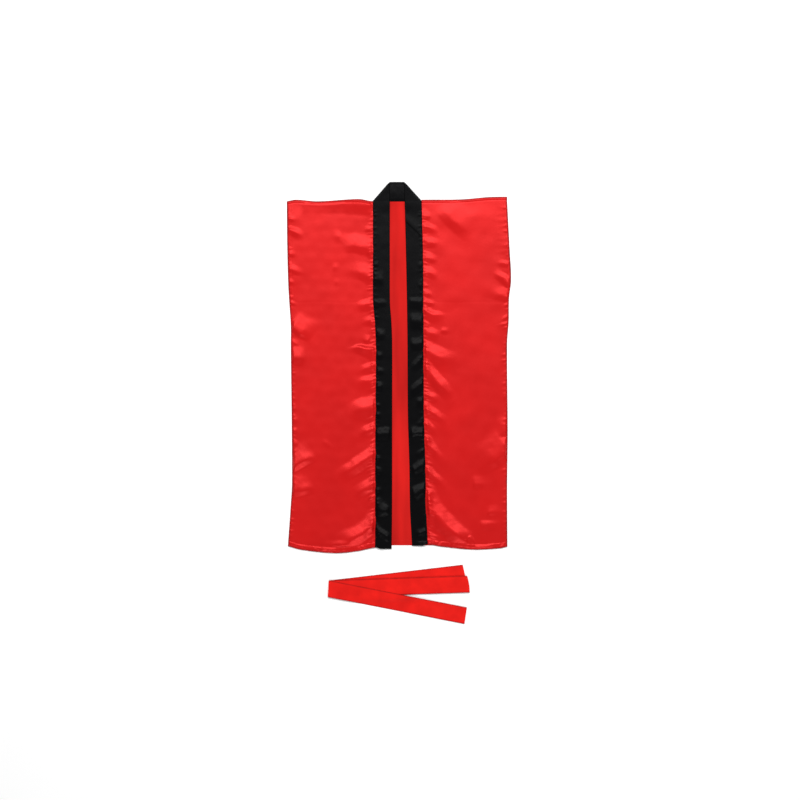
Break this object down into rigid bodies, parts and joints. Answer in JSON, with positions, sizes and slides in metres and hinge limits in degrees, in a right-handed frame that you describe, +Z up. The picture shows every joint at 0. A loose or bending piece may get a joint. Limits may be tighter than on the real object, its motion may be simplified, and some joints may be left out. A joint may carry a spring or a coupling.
{
  "type": "happi coat",
  "caption": "Sleeveless long happi coat in plain red satin with a black collar band, laid flat and open down the front, with its folded red belt beside the hem.",
  "frame": {"origin": "middle of the whole outline, coat and belt, on the surface that they lie on", "axes": "+Y along the coat towards the neck, +X towards the wearer's left side, +Z up from the surface"},
  "size_m": [0.6268, 1.2374, 0.0086],
  "materials": {
    "red_satin": "polyester satin, soft broad gloss",
    "black_satin": "black polyester satin, soft gloss",
    "belt_cloth": "red cloth strip, nearly matt"
  },
  "bodies": {
    "root": {"back_panel": "red_satin", "front_right": "red_satin", "front_left": "red_satin", "collar_neck": "black_satin", "collar_right": "black_satin", "collar_left": "black_satin", "belt_under": "belt_cloth", "belt_middle": "belt_cloth", "belt_top": "belt_cloth"}
  },
  "joints": []
}
